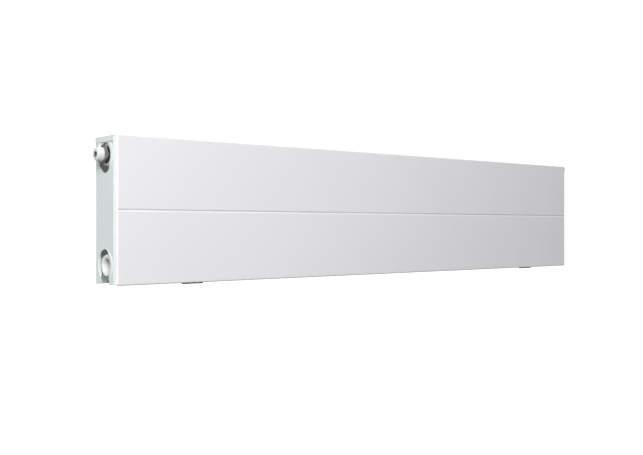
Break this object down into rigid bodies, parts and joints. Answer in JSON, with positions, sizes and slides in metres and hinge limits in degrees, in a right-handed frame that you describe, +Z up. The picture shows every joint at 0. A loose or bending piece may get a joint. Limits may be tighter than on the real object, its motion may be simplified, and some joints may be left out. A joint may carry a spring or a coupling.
{
  "type": "radiator",
  "caption": "Low flat-fronted panel radiator for wall hanging, with a convector, slotted top cover, end panels, air vent and side connections.",
  "frame": {"origin": "the wall_hang mount: wall side of the hanging lugs, half way along, level with the front plate's bottom edge", "axes": "+X along the radiator to the right as seen from the front, +Y towards the wall, +Z up"},
  "size_m": [1.0136, 0.058, 0.2018],
  "materials": {
    "front_paint": "white stoved powder coat, satin gloss with a very fine orange peel",
    "cover_paint": "white stoved powder coat, satin gloss",
    "panel_paint": "white stoved paint over primer, thinner in the folds",
    "adhesive": "cured elastic adhesive, matt",
    "spring_steel": "zinc plated spring strip",
    "dark_plastic": "dark grey moulded polyamide, fine texture",
    "pale_plastic": "natural moulded polyamide",
    "nickel": "bright nickel plate over turned brass",
    "white_plastic": "white moulded plastic, soft gloss",
    "seal_rubber": "black moulded rubber"
  },
  "bodies": {
    "radiator": {"front_plate": "front_paint", "end_panel_left": "cover_paint", "end_panel_right": "cover_paint", "water_shell_front": "panel_paint", "water_shell_rear": "panel_paint", "convector_left": "panel_paint", "convector_middle": "panel_paint", "convector_right": "panel_paint", "lug_left_upper": "panel_paint", "lug_left_lower": "panel_paint", "lug_right_upper": "panel_paint", "lug_right_lower": "panel_paint", "socket_left_upper": "panel_paint", "socket_left_lower": "panel_paint", "socket_right_upper": "panel_paint", "socket_right_lower": "panel_paint", "glue_strip_lower": "adhesive", "glue_strip_upper": "adhesive", "grille_clip_left": "spring_steel", "grille_clip_right": "spring_steel", "plate_clip_left": "dark_plastic", "plate_clip_right": "dark_plastic", "side_clip_left_upper": "pale_plastic", "side_clip_left_lower": "pale_plastic", "side_clip_right_upper": "pale_plastic", "side_clip_right_lower": "pale_plastic", "vent_body": "nickel", "blank_plug": "nickel", "vent_seal": "seal_rubber", "blank_seal": "seal_rubber"},
    "top_grille": {"top_grille": "cover_paint"},
    "vent_cap": {"vent_cap": "white_plastic"},
    "vent_needle": {"vent_needle": "seal_rubber"},
    "vent_spindle": {"vent_spindle": "nickel"}
  },
  "joints": [
    {"name": "grille_lift", "type": "slide", "parent": "radiator", "child": "top_grille", "axis": [0, 0, 1], "range_m": [0, 0.03]},
    {"name": "cap_swivel", "type": "hinge", "parent": "radiator", "child": "vent_cap", "pos_m": [-0.5, -0.0298, 0.174], "axis": [-1, 0, 0], "continuous": true},
    {"name": "needle_lift", "type": "slide", "parent": "radiator", "child": "vent_needle", "axis": [-1, 0, 0], "range_m": [0, 0.0012]},
    {"name": "spindle_turn", "type": "hinge", "parent": "vent_needle", "child": "vent_spindle", "pos_m": [-0.5, -0.0298, 0.174], "axis": [-1, 0, 0], "range_deg": [0, 540]}
  ],
  "couplings": [
    {"joint": "spindle_turn", "follows": "needle_lift", "rad_per_m": 7854}
  ]
}
